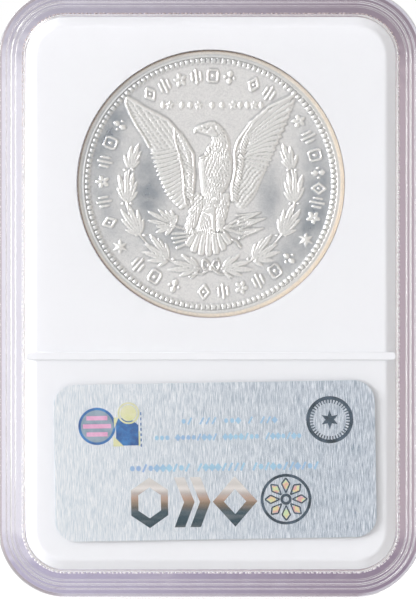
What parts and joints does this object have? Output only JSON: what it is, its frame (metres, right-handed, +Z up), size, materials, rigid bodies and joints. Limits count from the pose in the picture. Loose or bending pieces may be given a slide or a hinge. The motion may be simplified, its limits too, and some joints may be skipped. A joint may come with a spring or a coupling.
{
  "type": "graded coin slab",
  "caption": "Sealed clear plastic display case holding a large silver coin in a white insert, with a brushed foil label behind its rear window and a paper label behind its front one.",
  "frame": {"origin": "on the standing surface, under the middle of the slab, which stands upright on its lower edge", "axes": "+Z up along the slab's height, -Y out of the rear window that shows the coin's reverse, +Y out of the front window, +X to the right as seen from the rear"},
  "size_m": [0.0604, 0.008, 0.0863],
  "materials": {
    "clear_plastic": "clear moulded polystyrene, polished, with a faint lilac tint",
    "white_insert": "satin white moulded plastic",
    "struck_silver": "struck silver, frosted relief on brighter fields, light gold toning at the edge",
    "brushed_foil": "silver foil with a vertical brushed grain and mirror-bright printed shapes",
    "label_paper": null
  },
  "bodies": {
    "root": {"rear_shell": "clear_plastic", "front_shell": "clear_plastic", "coin_insert": "white_insert", "coin": "struck_silver", "security_foil_label": "brushed_foil", "certificate_label": "label_paper"}
  },
  "joints": []
}
